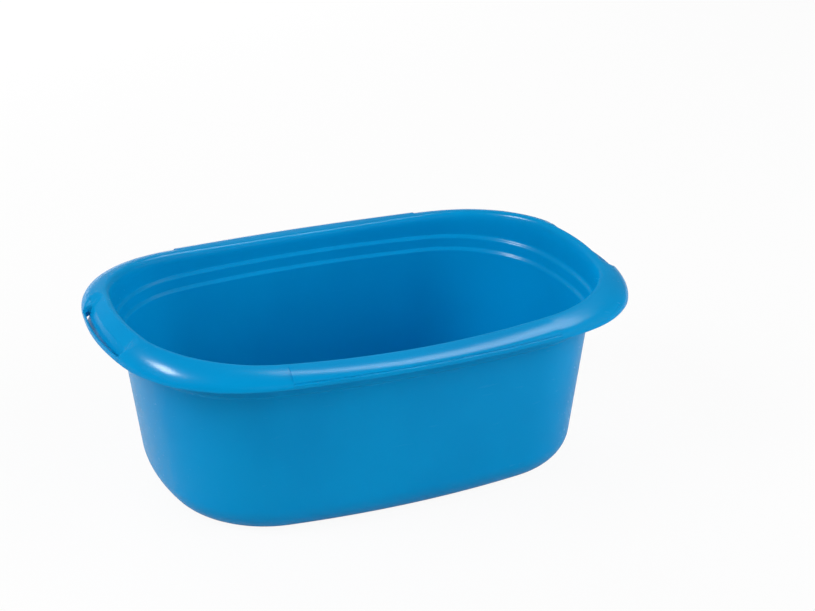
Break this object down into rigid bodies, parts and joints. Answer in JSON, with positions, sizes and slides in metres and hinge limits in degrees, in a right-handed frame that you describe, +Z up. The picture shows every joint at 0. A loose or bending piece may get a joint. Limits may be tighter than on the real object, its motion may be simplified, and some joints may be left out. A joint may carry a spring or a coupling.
{
  "type": "washing up bowl",
  "caption": "Oval plastic washing-up bowl with a rolled rim that rises to a scooped, slotted finger grip at each end.",
  "frame": {"origin": "middle of the flat ring that the bowl stands on", "axes": "+X along the length towards one grip, +Y towards the long side that is at the back in the picture, +Z up"},
  "size_m": [0.4112, 0.2792, 0.1502],
  "materials": {
    "blue_plastic": "satin, self-coloured polypropylene"
  },
  "bodies": {
    "root": {"tub_shell": "blue_plastic", "rim_front": "blue_plastic", "rim_back": "blue_plastic", "rim_grip_left": "blue_plastic", "rim_grip_right": "blue_plastic"}
  },
  "joints": []
}
